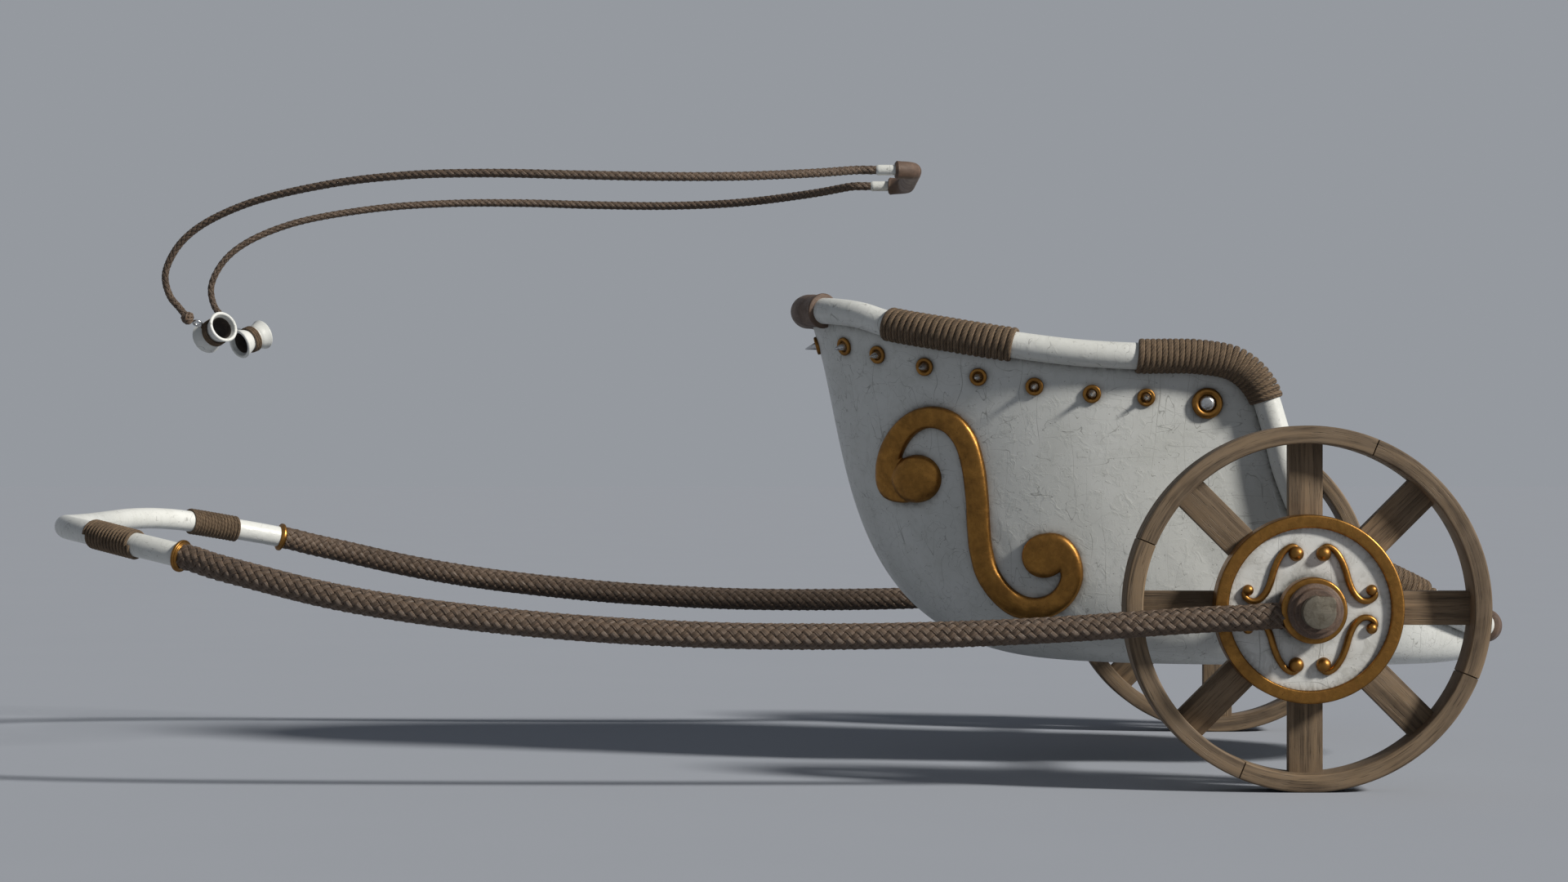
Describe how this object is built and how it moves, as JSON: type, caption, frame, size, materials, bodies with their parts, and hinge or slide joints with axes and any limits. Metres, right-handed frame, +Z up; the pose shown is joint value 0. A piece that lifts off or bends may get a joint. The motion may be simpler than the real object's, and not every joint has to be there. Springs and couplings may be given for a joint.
{
  "type": "two-wheeled chariot",
  "caption": "Light two-wheeled chariot with a high rounded prow and open low rear, spoked wheels, a padded rail, a draught bow on braided shafts and a set of reins.",
  "frame": {"origin": "bottom centre of the part's box, on the ground midway between the bow's front and the car's tail", "axes": "+Z up, -X the way the chariot faces, +Y towards its right wheel"},
  "size_m": [3.871, 2.3818, 1.601],
  "materials": {
    "white_paint": "worn off-white satin paint over wood",
    "bronze": "antique bronze with dark patina",
    "wood": "weathered grey-brown wood with open grain",
    "cord": "matte brown wound cord",
    "leather": "brown leather",
    "plait": "herringbone plaited brown leather",
    "steel": "bright polished shackle",
    "iron": "dull grey worn metal"
  },
  "bodies": {
    "car": {"car_shell": "white_paint", "floor_board": "wood", "rear_step": "wood", "axle_bolster": "wood", "car_rail": "white_paint", "front_cap": "leather", "tail_cap": "leather", "side_wrap_left": "cord", "side_wrap_right": "cord", "corner_wrap_left": "cord", "corner_wrap_right": "cord", "tail_wrap_left": "cord", "tail_wrap_right": "cord", "scroll_left": "bronze", "scroll_right": "bronze", "rivet_left": "bronze", "rivet_right": "bronze", "axle_cap_left": "leather", "axle_cap_right": "leather", "axle_peg_left": "iron", "axle_peg_right": "iron", "axle": "iron"},
    "wheel_left": {"felloe_1_left": "wood", "felloe_2_left": "wood", "felloe_3_left": "wood", "felloe_4_left": "wood", "wheel_spokes_left": "wood", "wheel_nave_left": "wood", "hub_disc_left": "white_paint", "hub_ring_left": "bronze"},
    "wheel_right": {"felloe_1_right": "wood", "felloe_2_right": "wood", "felloe_3_right": "wood", "felloe_4_right": "wood", "wheel_spokes_right": "wood", "wheel_nave_right": "wood", "hub_disc_right": "white_paint", "hub_ring_right": "bronze"},
    "draught_bow": {"bow": "white_paint", "shaft_collar_left": "bronze", "shaft_collar_right": "bronze", "shaft_left": "plait", "shaft_right": "plait", "bow_ring_left": "bronze", "bow_ring_right": "bronze", "bow_wrap_left": "cord", "bow_wrap_right": "cord"},
    "reins": {"rein_handle": "white_paint", "rein_grip": "leather", "rein_rope_left": "plait", "rein_rope_right": "plait", "rein_knot_left": "plait", "rein_knot_right": "plait", "rein_shackle_left": "steel", "rein_shackle_right": "steel"},
    "cuff_left": {"rein_cuff_left": "white_paint", "cuff_lashing_left": "cord"},
    "cuff_right": {"rein_cuff_right": "white_paint", "cuff_lashing_right": "cord"}
  },
  "joints": [
    {"name": "wheel_left_spin", "type": "hinge", "parent": "car", "child": "wheel_left", "pos_m": [1.2755, -0.95, 0.45], "axis": [0, 1, 0], "continuous": true},
    {"name": "wheel_right_spin", "type": "hinge", "parent": "car", "child": "wheel_right", "pos_m": [1.2755, 0.95, 0.45], "axis": [0, 1, 0], "continuous": true},
    {"name": "bow_swing", "type": "hinge", "parent": "car", "child": "draught_bow", "pos_m": [1.2755, 0, 0.45], "axis": [0, 1, 0], "range_deg": [-9.5, 60]},
    {"name": "reins_lift", "type": "slide", "parent": "car", "child": "reins", "axis": [0, 0, 1], "range_m": [0, 0.5]},
    {"name": "cuff_left_swing", "type": "hinge", "parent": "reins", "child": "cuff_left", "pos_m": [-1.55198, -0.35687, 1.17145], "axis": [0.6373, -0.697, 0.3286], "range_deg": [-20, 20]},
    {"name": "cuff_right_swing", "type": "hinge", "parent": "reins", "child": "cuff_right", "pos_m": [-1.55198, 0.35687, 1.17145], "axis": [0.6373, 0.697, 0.3286], "range_deg": [-20, 20]}
  ]
}
